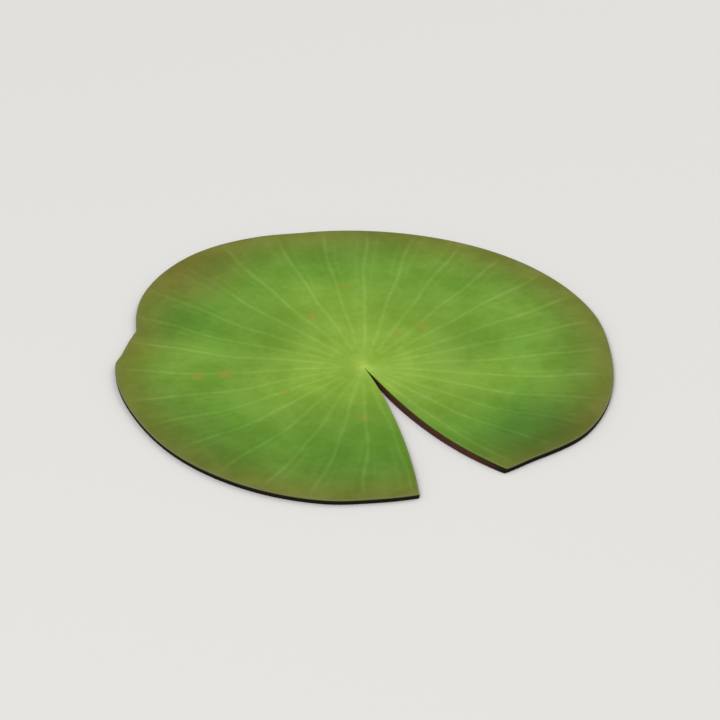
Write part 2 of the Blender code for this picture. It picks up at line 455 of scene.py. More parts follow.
@dataclass
class PadBlade:
    """The blade: upper side, wall round its edge and ribbed underside as one closed mesh."""

    outline: Outline
    fan: RibFan
    section: Section
    lanes: Lanes
    stalk_place: Vector
    name: str = "pad_blade"
    upper_map: Place = (0.36, 0.36, 0.00284)  # the stalk's u and v, and the length of 1 mm
    under_map: Place = (0.775, 0.775, 0.00177)
    strip_length: float = 170.0
    strip_start: Span = (0.012, 0.985)
    strip_pitch: float = 0.014
    object: Object | None = None

    def columns(self) -> tuple[Array, Array, Array, Array, Array]:
        """List the grid's columns from the right margin round to the left one.

        Returns:
            For each column the track it follows, 1 where it is measured from the
            next track instead, its distance in mm, its share of the gap, and its
            place beside the fork.
        """
        lanes, rows = self.lanes, []
        margin = [(mm, share, 0) for mm, share in lanes.beside_margin]
        panel = [(math.inf, share, 0) for share in lanes.margin_panel]
        rib = [(mm, share, 0) for mm, share in lanes.beside_rib]
        half = lanes.ribbed_gap()
        rows += [(-1, 0, *lane) for lane in margin + panel]
        rows += [(-1, 1, *lane) for lane in reversed(rib[1:])]
        for track in range(self.fan.count - 1):
            rows += [(track, 0, *lane) for lane in half]
            rows.append((track, 0, math.inf, 0.5, 0))
            rows += [(track, 1, *lane) for lane in reversed(half[1:])]
        last = self.fan.count - 1
        rows += [(last, 0, *lane) for lane in rib]
        rows += [(last, 1, *lane) for lane in reversed(margin + panel)]
        return tuple(np.array(column)[:, None] for column in zip(*rows))

    def lane_share(self, gap: Array, share: Array) -> Array:
        """Place of each column across its gap.

        Args:
            gap: width of the gap in mm.
            share: share of the way out.

        Returns:
            The place as a share of the gap, from its right hand track.
        """
        _, from_next, reach, reach_share, fork = self.columns()
        room = np.maximum(gap, TINY)
        place = np.minimum(reach / room, reach_share)
        beside = np.minimum(self.lanes.beside_fork / room, self.lanes.fork_room)
        side = np.where(fork == 2, 0, fork)
        place = np.where(fork != 0, self.fan.fork(share) + side * beside, place)
        return np.where(from_next == 1, 1.0 - place, place)

    def lay_out(self) -> Layout:
        """Lay the grid out on the outline, with every distance that the relief needs.

        Returns:
            The grid.
        """
        fan, outline, lanes = self.fan, self.outline, self.lanes
        track = self.columns()[0]
        whole = np.ones_like(track, dtype=float)
        start, end = fan.track(track, whole), fan.track(track + 1, whole)
        gap = np.radians(end - start) * lanes.typical_rim
        rim = outline.rim(start + (end - start) * self.lane_share(gap, whole))

        inner = np.tile(lanes.inner_shares(), (len(track), 1))
        outer = 1.0 - np.array(lanes.near_rim) / rim
        share = np.hstack([inner, outer])
        radius = share * rim
        start, end = fan.track(track, share), fan.track(track + 1, share)
        gap = np.radians(end - start) * radius
        place = self.lane_share(gap, share)
        bearing = start + (end - start) * place

        first, last = track < 0, track >= fan.count - 1
        to_rib = np.where(first, 1.0 - place, np.where(last, place, np.minimum(place, 1.0 - place)))
        rib_away = to_rib * gap
        to_fork = rib_away - fan.fork(share) * gap
        fork_away = np.where(first | last, -rib_away - fan.fork(share) * gap, to_fork)

        right, left = outline.notch_angle(bearing, share)
        nearer = np.radians(np.minimum(np.minimum(right, left), QUARTER_TURN))
        angle = np.radians(bearing)
        outward = np.stack([np.cos(angle), np.sin(angle)], axis=-1)
        turn = np.where(right < left, 1.0, -1.0)[..., None]
        sideways = np.stack([outward[..., 1], -outward[..., 0]], axis=-1) * turn
        return Layout(
            bearing=bearing,
            share=share,
            radius=radius,
            gap=gap,
            rib_away=rib_away,
            fork_away=fork_away,
            notch_away=np.sin(nearer) * radius,
            rim_away=(1.0 - share) * rim,
            across=place,
            outward=outward,
            sideways=sideways,
        )

    def flat_places(self, grid: Layout) -> Array:
        """Places of the grid seen from above, with the lobes' corners rounded.

        Args:
            grid: the blade's grid.

        Returns:
            The places in mm, as x and y.
        """
        places = grid.outward * grid.radius[..., None]
        size = self.section.corner_round
        by_rim = np.clip(size - grid.rim_away, 0.0, size)
        by_notch = np.clip(size - grid.notch_away, 0.0, size)
        inside = (by_rim > 0.0) & (by_notch > 0.0) & (grid.share > 0.5)
        reach = np.maximum(by_rim, by_notch)
        pull = np.where(inside, reach / np.maximum(np.hypot(by_rim, by_notch), TINY) - 1.0, 0.0)
        corner = grid.outward * by_rim[..., None] + grid.sideways * by_notch[..., None]
        return places + corner * pull[..., None]

    def upper_side(self, grid: Layout) -> Array:
        """Places of the upper side: crown, impressed veins and rounded edge.

        Args:
            grid: the blade's grid.

        Returns:
            The places in mm.
        """
        section = self.section
        height = section.top(grid.bearing, grid.share, grid.radius, grid.notch_away)
        width = section.vein_half_width
        shown = smooth_step(grid.share, *section.veins_begin)
        shown = shown * (1.0 - smooth_step(grid.share, *section.veins_end))
        height -= section.vein_depth * shown * np.exp(-((grid.rib_away / width) ** 2))
        forked = smooth_step(grid.share, self.fan.fork_starts, self.fan.fork_runs) * shown
        height -= section.fork_depth * forked * np.exp(-((grid.fork_away / width) ** 2))
        height += section.quilting * shown * np.sin(math.pi * grid.across) ** 2
        height -= rounding(grid.edge_away, section.top_round)
        return np.concatenate([self.flat_places(grid), height[..., None]], axis=-1)

    def underside(self, grid: Layout) -> Array:
        """Places of the underside: ribs, forks, puffed panels and leaning edge.

        Args:
            grid: the blade's grid.

        Returns:
            The places in mm.
        """
        section = self.section
        width = section.rib_width(grid.share, grid.gap)
        away = np.clip(grid.rib_away / np.maximum(width, TINY), 0.0, 1.0)
        rib = np.cos(math.pi / 2.0 * away) ** 2
        fork_away = np.abs(grid.fork_away) / np.maximum(width * section.fork_width, TINY)
        fork = np.cos(math.pi / 2.0 * np.clip(fork_away, 0.0, 1.0)) ** 2
        rise = smooth_step(grid.share, self.fan.fork_starts, section.fork_full)
        fork = fork * section.fork_height * rise
        edge_rib = 1.0 - smooth_step(grid.notch_away / np.maximum(width, TINY), *section.edge_rib)
        filled = np.maximum(np.maximum(rib, fork), edge_rib)
        height = section.panels(grid.share) * (1.0 - filled)
        puffed = np.sin(math.pi * grid.across) ** 2 * smooth_step(grid.gap, *section.puff_gap)
        puffed = puffed * (1.0 - smooth_step(grid.share, *section.puff_ends)) * (1.0 - filled)
        height -= section.puff * puffed
        height += rounding(grid.edge_away, section.bottom_round)

        in_from_rim = 1.0 - smooth_step(grid.rim_away, 0.0, section.lean_reach)
        in_from_notch = 1.0 - smooth_step(grid.notch_away, 0.0, section.lean_reach)
        flare = section.right_flare * smooth_step(grid.radius, 0.0, section.flare_grows)
        flare = np.where(grid.bearing < section.tip_bearing, flare * in_from_notch, 0.0)
        lean = grid.sideways * flare[..., None]
        lean -= grid.outward * (section.undercut * in_from_rim)[..., None]
        places = self.flat_places(grid) + lean
        return np.concatenate([places, height[..., None]], axis=-1)

    def numbering(self, grid: Layout) -> tuple[Numbers, Numbers]:
        """Number the vertices of one side, and list those round its edge.

        Args:
            grid: the blade's grid.

        Returns:
            The number at each column and ring, where the stalk's is 0, and the
            numbers round the edge from the stalk along the right margin.
        """
        columns, rings = grid.share.shape
        numbers = np.zeros((columns, rings), dtype=np.int64)
        numbers[:, 1:] = 1 + np.arange(columns * (rings - 1)).reshape(columns, rings - 1)
        edge = [0, *numbers[0, 1:], *numbers[1:, -1], *numbers[-1, -2:0:-1]]
        return numbers, np.array(edge)

    def edge_outward(self, grid: Layout) -> Array:
        """Direction out of the blade at each vertex round the edge.

        Args:
            grid: the blade's grid.

        Returns:
            The directions, as x and y.
        """
        first, last = grid.sideways[0, 1:], grid.sideways[-1, -2:0:-1]
        rim = grid.outward[1:, -1].copy()
        first[-1] = (grid.sideways[0, -1] + grid.outward[0, -1]) / math.sqrt(2.0)
        rim[-1] = (grid.sideways[-1, -1] + grid.outward[-1, -1]) / math.sqrt(2.0)
        return np.vstack([np.zeros((1, 2)), first, rim, last])

    @staticmethod
    def side_faces(numbers: Numbers, upwards: bool) -> list[tuple[int, ...]]:
        """Faces of one side: triangles round the stalk and quads beyond them.

        Args:
            numbers: vertex numbers by column and ring.
            upwards: whether the faces look up.

        Returns:
            The faces as tuples of vertex numbers.
        """
        near, beyond = numbers[:-1], numbers[1:]
        fans = np.stack([near[:, 0], near[:, 1], beyond[:, 1]], axis=-1)
        quads = np.stack([near[:, 1:-1], near[:, 2:], beyond[:, 2:], beyond[:, 1:-1]], axis=-1)
        faces = [*fans.tolist(), *quads.reshape(-1, 4).tolist()]
        return [tuple(face) if upwards else tuple(reversed(face)) for face in faces]

    def build(self) -> Object:
        """Make the blade's mesh, with the measures that its finishes read.

        Returns:
            The blade's object.
        """
        grid = self.lay_out()
        numbers, edge = self.numbering(grid)
        rows = self.lanes.wall_rows
        upper = self.one_pole(self.upper_side(grid))
        under = self.one_pole(self.underside(grid))
        side = len(upper)

        depth = (np.arange(rows) + 1.0)[:, None, None] / (rows + 1.0)
        wall = upper[edge] + (under[edge] - upper[edge]) * depth
        bulge = self.section.wall_bulge * 4.0 * depth * (1.0 - depth)
        wall[..., :2] += self.edge_outward(grid) * bulge
        places = np.vstack([upper, wall.reshape(-1, 3), under])

        wall_numbers = side + np.arange(rows * len(edge)).reshape(rows, len(edge))
        under_start = side + wall_numbers.size
        stack = np.vstack([edge, wall_numbers, edge + under_start])
        here, there = stack, np.roll(stack, -1, axis=1)
        band = np.stack([here[:-1], here[1:], there[1:], there[:-1]], axis=-1)
        faces = self.side_faces(numbers, True)
        upper_count = len(faces)
        faces += [tuple(face) for face in band.reshape(-1, 4).tolist()]
        wall_count = len(faces) - upper_count
        faces += self.side_faces(numbers + under_start, False)

        mesh = bpy.data.meshes.new(self.name)
        shift = np.array(self.stalk_place[:])
        mesh.from_pydata(places * MM + shift, [], faces)
        kinds = np.full(len(faces), Surface.UNDER.value)
        kinds[:upper_count] = Surface.UPPER.value
        kinds[upper_count : upper_count + wall_count] = Surface.WALL.value
        mesh.polygons.foreach_set("material_index", kinds)
        mesh.shade_smooth()

        depths = np.broadcast_to(depth[..., 0], wall_numbers.shape).ravel()
        self.store(mesh, "depth", np.concatenate([np.zeros(side), depths, np.ones(side)]))
        for measure in ("bearing", "share", "rib_away", "fork_away", "notch_away", "rim_away"):
            one = self.one_pole(getattr(grid, measure)[..., None])[:, 0]
            self.store(mesh, measure, np.concatenate([one, np.tile(one[edge], rows), one]))
        keep_places(mesh, places)
        self.map_surface(mesh, places, kinds, edge)

        self.object = put_in_scene(self.name, mesh)
        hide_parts(PAD_NODE)
        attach(self.object, BODY)
        return self.object

    @staticmethod
    def one_pole(values: Array) -> Array:
        """Keep one entry for the stalk, then every column's rings."""
        return np.vstack([values[:1, 0], values[:, 1:].reshape(-1, values.shape[-1])])

    @staticmethod
    def store(mesh: Mesh, name: str, values: Array) -> None:
        """Keep a measure on the mesh's vertices."""
        mesh.attributes.new(name, "FLOAT", "POINT").data.foreach_set("value", values)

    def map_surface(self, mesh: Mesh, places: Array, kinds: Numbers, edge: Numbers) -> None:
        """Lay the surface out flat: both sides seen straight on, and the wall in strips.

        Args:
            mesh: the blade's mesh.
            places: its vertices in mm from the stalk.
            kinds: the surface that each face belongs to.
            edge: vertex numbers round the upper edge.
        """
        corners = np.zeros(len(mesh.loops), dtype=np.int64)
        mesh.loops.foreach_get("vertex_index", corners)
        counts = np.zeros(len(mesh.polygons), dtype=np.int64)
        mesh.polygons.foreach_get("loop_total", counts)
        kind = np.repeat(kinds, counts)
        flat = places[corners, :2]
        u_up, v_up, scale_up = self.upper_map
        u_under, v_under, scale_under = self.under_map
        spots = flat * scale_up + (u_up, v_up)
        under = kind == Surface.UNDER.value
        spots[under] = flat[under] * (-scale_under, scale_under) + (u_under, v_under)

        steps = np.linalg.norm(np.diff(places[np.append(edge, edge[0])], axis=0), axis=1)
        run = np.concatenate([[0.0], np.cumsum(steps)])
        rows = self.lanes.wall_rows + 1
        begin = np.tile(np.arange(len(edge)), rows)
        row = np.repeat(np.arange(rows), len(edge))
        strip = np.floor(run[begin] / self.strip_length)
        height = self.section.edge / rows * scale_up
        u0, v0 = self.strip_start
        left = u0 + (run[begin] - strip * self.strip_length) * scale_up
        right = u0 + (run[begin + 1] - strip * self.strip_length) * scale_up
        top = v0 - strip * self.strip_pitch - row * height
        wall = np.stack(
            [np.stack([left, top], -1), np.stack([left, top - height], -1),
             np.stack([right, top - height], -1), np.stack([right, top], -1)],
            axis=1,
        )
        spots[kind == Surface.WALL.value] = wall.reshape(-1, 2)
        layer = mesh.uv_layers.new(name=BAKE_MAP)
        layer.data.foreach_set("uv", spots.ravel())

    def dress(self, finishes: dict[Surface, Material]) -> None:
        """Give each surface of the blade its finish."""
        for surface in Surface:
            self.object.data.materials.append(finishes[surface])


@dataclass
class StalkFoot:
    """The foot of the stalk, cut off level with the ribs, with its air canals."""

    stalk_place: Vector
    name: str = "stalk_foot"
    setback: float = 1.6
    sides: int = 64
    profile: tuple[Span, ...] = (
        (0.0, 0.0), (3.22, 0.0), (3.34, 0.04), (3.4, 0.14), (3.44, 0.5), (3.62, 0.85),
        (3.95, 1.12), (4.5, 1.34), (5.2, 1.5), (5.6, 1.7), (0.0, 1.9),
    )
    canal_rings: tuple[tuple[int, float, float, float], ...] = (
        (4, 1.3, 0.66, 20.0), (8, 2.45, 0.27, 5.0),
    )  # count, distance from the middle, radius, bearing of the first
    canal_depth: float = 1.1
    canal_taper: float = 0.8
    canal_sides: int = 20
    sharp_angle: float = 40.0
    object: Object | None = None

    def lathe(self) -> Object:
        """Turn the foot's profile round the stalk's middle.

        Returns:
            The foot's object.
        """
        mesh = bmesh.new()
        rings = []
        for radius, height in self.profile:
            if radius == 0.0:
                rings.append([mesh.verts.new((0.0, 0.0, height * MM))])
                continue
            turns = [2.0 * math.pi * side / self.sides for side in range(self.sides)]
            rings.append([
                mesh.verts.new((radius * MM * math.cos(t), radius * MM * math.sin(t), height * MM))
                for t in turns
            ])
        for lower, higher in zip(rings, rings[1:]):
            for side in range(self.sides):
                after = (side + 1) % self.sides
                face = [lower[side % len(lower)], lower[after % len(lower)]]
                face += [higher[after % len(higher)], higher[side % len(higher)]]
                mesh.faces.new(list(dict.fromkeys(face)))
        bmesh.ops.recalc_face_normals(mesh, faces=mesh.faces)
        return self.as_object(mesh, self.name)

    def canals(self) -> Object:
        """Cutters for the air canals.

        Returns:
            The cutters, as one object.
        """
        mesh = bmesh.new()
        for count, distance, radius, first in self.canal_rings:
            for canal in range(count):
                angle = math.radians(first + 360.0 * canal / count)
                made = bmesh.ops.create_cone(
                    mesh,
                    cap_ends=True,
                    segments=self.canal_sides,
                    radius1=radius * MM,
                    radius2=radius * self.canal_taper * MM,
                    depth=2.0 * self.canal_depth * MM,
                )
                place = (distance * MM * math.cos(angle), distance * MM * math.sin(angle), 0.0)
                bmesh.ops.translate(mesh, verts=made["verts"], vec=place)
        return self.as_object(mesh, "canal_cutters")

    @staticmethod
    def as_object(mesh: bmesh.types.BMesh, name: str) -> Object:
        """Put a finished mesh in the scene.

        Args:
            mesh: the mesh.
            name: name of the mesh and its object.

        Returns:
            The object.
        """
        data = bpy.data.meshes.new(name)
        mesh.to_mesh(data)
        mesh.free()
        return put_in_scene(name, data)

    def build(self) -> Object:
        """Make the foot and cut its canals.

        Returns:
            The foot's object.
        """
        foot, cutters = self.lathe(), self.canals()
        cut = foot.modifiers.new("canals", "BOOLEAN")
        cut.operation = "DIFFERENCE"
        cut.object = cutters
        evaluated = foot.evaluated_get(bpy.context.evaluated_depsgraph_get())
        mesh = bpy.data.meshes.new_from_object(evaluated)
        foot.modifiers.clear()
        foot.data = mesh
        mesh.name = self.name
        bpy.data.objects.remove(cutters)
        shift = self.stalk_place + Vector((0.0, self.setback * MM, 0.0))
        places = np.zeros(len(mesh.vertices) * 3)
        mesh.vertices.foreach_get("co", places)
        keep_places(mesh, places / MM)
        for vert in mesh.vertices:
            vert.co += shift
        mesh.shade_smooth()
        mesh.set_sharp_from_angle(angle=math.radians(self.sharp_angle))
        self.object = foot
        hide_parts(PAD_NODE)
        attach(foot, BODY)
        return foot

    def dress(self, finish: Material) -> None:
        """Give the foot its finish."""
        self.object.data.materials.clear()
        self.object.data.materials.append(finish)


class Sheet:
    """A node tree, with short ways to add its nodes and to join them.

    Where a node takes a value, the name of a measure kept on the mesh stands for that measure.
    """

    def __init__(self, tree: NodeTree) -> None:
        """Work on a node tree."""
        self.tree = tree
        self.known: dict[str, NodeSocket] = {}

    def add(self, kind: str, **settings: Any) -> Node:
        """Add a node.

        Args:
            kind: the node's type.
            **settings: its properties.

        Returns:
            The node.
        """
        node = self.tree.nodes.new(kind)
        for name, value in settings.items():
            setattr(node, name, value)
        return node

    def feed(self, socket: NodeSocket, value: Any) -> None:
        """Join an output or a measure to a socket, or set the socket's own value.

        Args:
            socket: the socket.
            value: the output, the measure's name or the value.
        """
        value = self.read(value) if isinstance(value, str) else value
        if isinstance(value, NodeSocket):
            self.tree.links.new(value, socket)
        else:
            socket.default_value = value

    def sum(self, operation: str, *values: Any, clamp: bool = False) -> NodeSocket:
        """Add a Math node.

        Args:
            operation: what it does.
            *values: numbers, outputs or measures that it works on.
            clamp: whether the result is kept from 0 to 1.

        Returns:
            Its output.
        """
        node = self.add("ShaderNodeMath", operation=operation, use_clamp=clamp)
        for socket, value in zip(node.inputs, values):
            self.feed(socket, value)
        return node.outputs[0]

    def product(self, first: Any, *others: Any) -> NodeSocket:
        """Multiply several values, from left to right."""
        return functools.reduce(lambda so_far, other: self.sum("MULTIPLY", so_far, other), others, first)

    def hump(self, away: Any, width: Any) -> NodeSocket:
        """Rise softly to 1 where away is 0, about as far as width on either side."""
        wide = self.sum("DIVIDE", away, width)
        return self.sum("EXPONENT", self.product(wide, wide, -1.0))

    def blend(self, share: Any, first: Any, second: Any, mode: str = "MIX") -> NodeSocket:
        """Add a node that mixes two colours.

        Args:
            share: how much of the second colour.
            first: the first colour.
            second: the second colour.
            mode: how they are mixed.

        Returns:
            The mixed colour.
        """
        node = self.add("ShaderNodeMix", data_type="RGBA", blend_type=mode, clamp_factor=True)
        for number, value in ((0, share), (6, first), (7, second)):
            self.feed(node.inputs[number], value)
        return node.outputs[2]

    def fade(self, value: Any, low: Any, high: Any, start: float = 0.0, end: float = 1.0) -> NodeSocket:
        """Add a node that goes smoothly from start to end.

        Args:
            value: what it follows.
            low: where it starts.
            high: where it ends.
            start: the result below low.
            end: the result above high.

        Returns:
            Its output.
        """
        node = self.add("ShaderNodeMapRange", interpolation_type="SMOOTHSTEP")
        for number, part in enumerate((value, low, high, start, end)):
            self.feed(node.inputs[number], part)
        return node.outputs[0]

    def colours(self, value: Any, *stops: Stop) -> NodeSocket:
        """Add a colour ramp.

        Args:
            value: what it follows, from 0 to 1.
            *stops: places and colours.

        Returns:
            Its colour.
        """
        node = self.add("ShaderNodeValToRGB")
        elements = node.color_ramp.elements
        while len(elements) < len(stops):
            elements.new(1.0)
        for element, (place, colour) in zip(elements, stops):
            element.position = place
            element.color = colour
        self.feed(node.inputs[0], value)
        return node.outputs[0]

    def tint(self, share: Any, colour: NodeSocket, tint: Any) -> NodeSocket:
        """Multiply a colour by a tint, as much as share says."""
        return self.blend(share, colour, tint, "MULTIPLY")

    def read(self, name: str) -> NodeSocket:
        """Read a measure kept on the mesh, with one node for each.

        Args:
            name: the measure's name.

        Returns:
            Its output.
        """
        if name not in self.known:
            node = self.add("ShaderNodeAttribute", attribute_name=name)
            self.known[name] = node.outputs["Vector" if name == PLACES else "Fac"]
        return self.known[name]

    def noise(self, places: Any, size: Any, detail: float = 2.0) -> NodeSocket:
        """Add noise.

        Args:
            places: what it is spread over.
            size: about how far across its patches are.
            detail: how many finer layers it has.

        Returns:
            Its output.
        """
        node = self.add("ShaderNodeTexNoise")
        self.feed(node.inputs["Vector"], places)
        self.feed(node.inputs["Scale"], self.sum("DIVIDE", 1.0, size))
        self.feed(node.inputs["Detail"], detail)
        return node.outputs["Fac"]

    def use(self, effect: Effect, **values: Any) -> NodeSocket:
        """Place a shared shader node group.

        Args:
            effect: the group.
            **values: its inputs, with low lines for the spaces in their names.

        Returns:
            The group's one output.
        """
        node = self.add("ShaderNodeGroup", node_tree=bpy.data.node_groups[effect.value])
        for name, value in values.items():
            self.feed(node.inputs[name.replace("_", " ")], value)
        return node.outputs[0]


@dataclass(frozen=True)
class Effects:
    """Maker of the shader node groups that several finishes share."""

    mottle_detail: float = 3.0
    mottle_finer: float = 0.31
    mottle_parts: Span = (0.66, 0.34)
    dimple_size: float = 5.0
    grain_part: float = 0.4

    def build(self) -> None:
        """Make every group once."""
        self.make_mottle()
        self.make_line()
        self.make_patch()
        self.make_net()
        self.make_skin()

    @staticmethod
    def start(effect: Effect, result: str, **inputs: Any) -> tuple[Sheet, Any, Any]:
        """Begin a group with one output.

        Args:
            effect: the group.
            result: its output's name.
            **inputs: its inputs and their usual values, None for a place.

        Returns:
            The group's sheet, its inputs by name and its output socket.
        """
        group = bpy.data.node_groups.new(effect.value, "ShaderNodeTree")
        for label, value in inputs.items():
            kind = "NodeSocketVector" if value is None else "NodeSocketFloat"
            title = label.replace("_", " ")
            socket = group.interface.new_socket(title, in_out="INPUT", socket_type=kind)
            if value is not None:
                socket.default_value = value
        group.interface.new_socket(result, in_out="OUTPUT", socket_type="NodeSocketFloat")
        sheet = Sheet(group)
        taken = sheet.add("NodeGroupInput").outputs
        given = sheet.add("NodeGroupOutput").inputs[0]
        return sheet, taken, given

    def make_mottle(self) -> None:
        """Uneven colour in broad patches with finer ones on them."""
        sheet, taken, given = self.start(Effect.MOTTLE, "Mask", Places=None, Size=10.0)
        broad = sheet.noise(taken["Places"], taken["Size"], self.mottle_detail)
        fine = sheet.noise(taken["Places"], sheet.product(taken["Size"], self.mottle_finer))
        both = [sheet.product(*pair) for pair in zip((broad, fine), self.mottle_parts)]
        sheet.feed(given, sheet.fade(sheet.sum("ADD", *both), *NOISE_RANGE))

    def make_line(self) -> None:
        """A soft line where a distance is 0."""
        sheet, taken, given = self.start(Effect.LINE, "Mask", Away=0.0, Half_width=0.5)
        sheet.feed(given, sheet.hump(taken["Away"], taken["Half width"]))

    def make_patch(self) -> None:
        """A soft patch about a place."""
        sheet, taken, given = self.start(Effect.PATCH, "Mask", Places=None, Middle=None, Size=5.0)
        node = sheet.add("ShaderNodeVectorMath", operation="DISTANCE")
        sheet.feed(node.inputs[0], taken["Places"])
        sheet.feed(node.inputs[1], taken["Middle"])
        sheet.feed(given, sheet.hump(node.outputs["Value"], taken["Size"]))

    def make_net(self) -> None:
        """The net of finest veins."""
        sheet, taken, given = self.start(Effect.NET, "Mask", Places=None, Cell=2.5, Line=0.12)
        cells = sheet.add("ShaderNodeTexVoronoi", feature="DISTANCE_TO_EDGE")
        sheet.feed(cells.inputs["Vector"], taken["Places"])
        sheet.feed(cells.inputs["Scale"], sheet.sum("DIVIDE", 1.0, taken["Cell"]))
        sheet.feed(given, sheet.fade(cells.outputs["Distance"], 0.0, taken["Line"], 1.0, 0.0))

    def make_skin(self) -> None:
        """Height of the waxy skin: fine grain with shallow dimples."""
        sheet, taken, given = self.start(Effect.SKIN, "Height", Places=None, Grain=0.6)
        grain = sheet.noise(taken["Places"], taken["Grain"])
        dimples = sheet.noise(taken["Places"], sheet.product(taken["Grain"], self.dimple_size))
        sheet.feed(given, sheet.sum("ADD", sheet.product(grain, self.grain_part), dimples))


@dataclass(frozen=True)
class Patch:
    """A soft patch of colour: bearing, distance from the stalk, size and strength."""

    bearing: float
    distance: float
    size: float
    strength: float

    def middle(self) -> Place:
        """Place of the patch's middle, in mm from the stalk."""
        angle = math.radians(self.bearing)
        return (self.distance * math.cos(angle), self.distance * math.sin(angle), PATCH_HEIGHT)


def patches_mask(sheet: Sheet, patches: tuple[Patch, ...]) -> NodeSocket:
    """Add up soft patches.

    Args:
        sheet: the material's nodes.
        patches: the patches.

    Returns:
        A mask from 0 to 1.
    """
    total: Any = 0.0
    for patch in patches:
        one = sheet.use(Effect.PATCH, Places=PLACES, Middle=patch.middle(), Size=patch.size)
        total = sheet.sum("MULTIPLY_ADD", one, patch.strength, total, clamp=True)
    return total


def start_material(name: str, specular: float) -> tuple[Material, Sheet, Any]:
    """Make a material with a Principled shader.

    Args:
        name: the material's name.
        specular: its specular level, the same all over.

    Returns:
        The material, its sheet and the shader's inputs.
    """
    material = bpy.data.materials.new(name)
    material.use_nodes = True
    shader = material.node_tree.nodes["Principled BSDF"].inputs
    shader["Specular IOR Level"].default_value = specular
    return material, Sheet(material.node_tree), shader


@dataclass(frozen=True)
class Relief:
    """Fine relief of a finish: grain in mm, strength, height in mm and the net's share of it."""

    grain: float
    strength: float
    height: float
    net: float = 0.0

    def add(self, sheet: Sheet, shader: Any, net: NodeSocket | None) -> None:
        """Feed the waxy skin to the shader as a bump.

        Args:
            sheet: the material's nodes.
            shader: the shader's inputs.
            net: the net of finest veins, or None.
        """
        height = sheet.use(Effect.SKIN, Places=PLACES, Grain=self.grain)
        if net is not None:
            height = sheet.sum("MULTIPLY_ADD", net, self.net, height)
        bump = sheet.add("ShaderNodeBump")
        sheet.feed(bump.inputs["Strength"], self.strength)
        sheet.feed(bump.inputs["Distance"], self.height * MM)
        sheet.feed(bump.inputs["Height"], height)
        sheet.feed(shader["Normal"], bump.outputs["Normal"])


@dataclass(frozen=True)
class Finish:
    """What the leaf's finishes share: a name, a specular level and a fine relief."""

    name: str
    specular: float
    relief: Relief

    def paint(self, sheet: Sheet) -> Paint:
        """Lay the colour and the roughness, which each finish does in its own way."""
        raise NotImplementedError

    def make(self) -> Material:
        """Make the material.

        Returns:
            The material.
        """
        material, sheet, shader = start_material(self.name, self.specular)
        colour, roughness, net = self.paint(sheet)
        sheet.feed(shader["Base Color"], colour)
        sheet.feed(shader["Roughness"], roughness)
        self.relief.add(sheet, shader, net)
        return material


